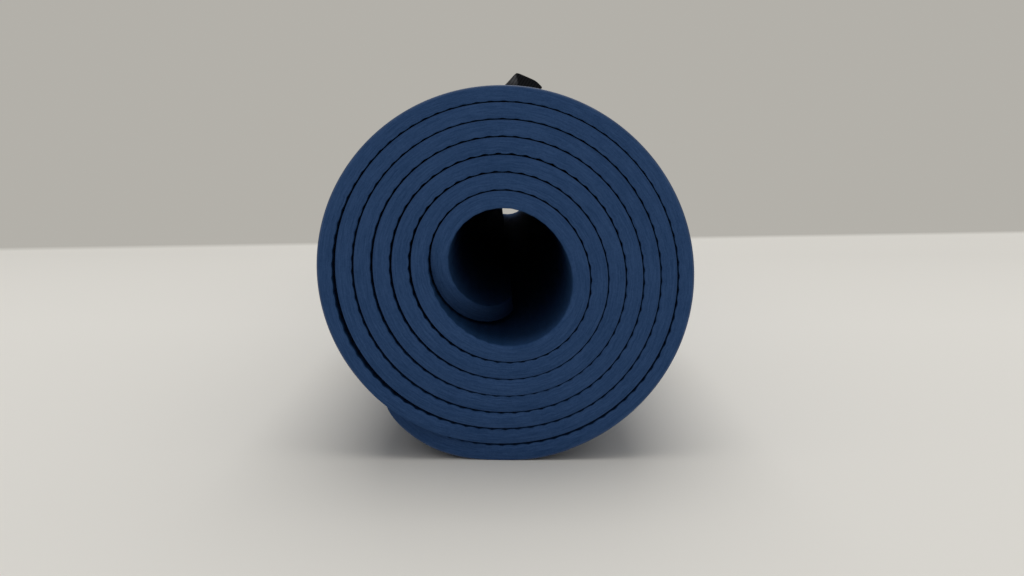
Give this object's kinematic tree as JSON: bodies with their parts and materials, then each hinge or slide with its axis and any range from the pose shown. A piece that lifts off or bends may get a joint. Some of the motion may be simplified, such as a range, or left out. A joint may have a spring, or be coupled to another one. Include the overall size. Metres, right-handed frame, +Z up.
{
  "type": "rolled exercise mat",
  "caption": "Rolled foam exercise mat lying on its side, with two cinched webbing bands and a webbing carry handle on top.",
  "frame": {"origin": "under the middle of the whole object, on the surface that it lies on", "axes": "+Z up, +Y along the roll away from its flush end, +X to the side that the closing tabs are on"},
  "size_m": [0.1298, 0.6204, 0.1508],
  "materials": {
    "foam": "matt closed-cell foam, smooth outside, ribbed inside",
    "webbing": "black woven webbing",
    "ring_plastic": "black moulded plastic",
    "hook_tape": "black hook tape",
    "loop_tape": "black loop pile tape",
    "thread": "black sewing thread"
  },
  "bodies": {
    "roll": {"mat_roll": "foam", "near_band": "webbing", "near_ring": "ring_plastic", "near_loop_patch": "loop_tape", "near_eye_stitch": "thread", "near_handle_stitch": "thread", "far_band": "webbing", "far_ring": "ring_plastic", "far_loop_patch": "loop_tape", "far_eye_stitch": "thread", "far_handle_stitch": "thread", "handle_near_leg": "webbing", "handle_far_leg": "webbing"},
    "handle": {"handle_crown": "webbing"},
    "near_tab": {"near_tab": "webbing", "near_hook_patch": "hook_tape", "near_tab_stitch": "thread"},
    "far_tab": {"far_tab": "webbing", "far_hook_patch": "hook_tape", "far_tab_stitch": "thread"}
  },
  "joints": [
    {"name": "handle_sway", "type": "hinge", "parent": "roll", "child": "handle", "pos_m": [-0.00219, -0.00517, 0.12619], "axis": [0, 1, 0], "range_deg": [-75, 35], "stiffness_Nm_per_rad": 0.004, "deforming": ["handle_near_leg", "handle_far_leg"]},
    {"name": "near_tab_peel", "type": "hinge", "parent": "roll", "child": "near_tab", "pos_m": [0.04938, -0.17517, 0.1056], "axis": [0, -1, 0], "range_deg": [0, 100]},
    {"name": "far_tab_peel", "type": "hinge", "parent": "roll", "child": "far_tab", "pos_m": [0.04938, 0.16483, 0.1056], "axis": [0, -1, 0], "range_deg": [0, 100]}
  ]
}
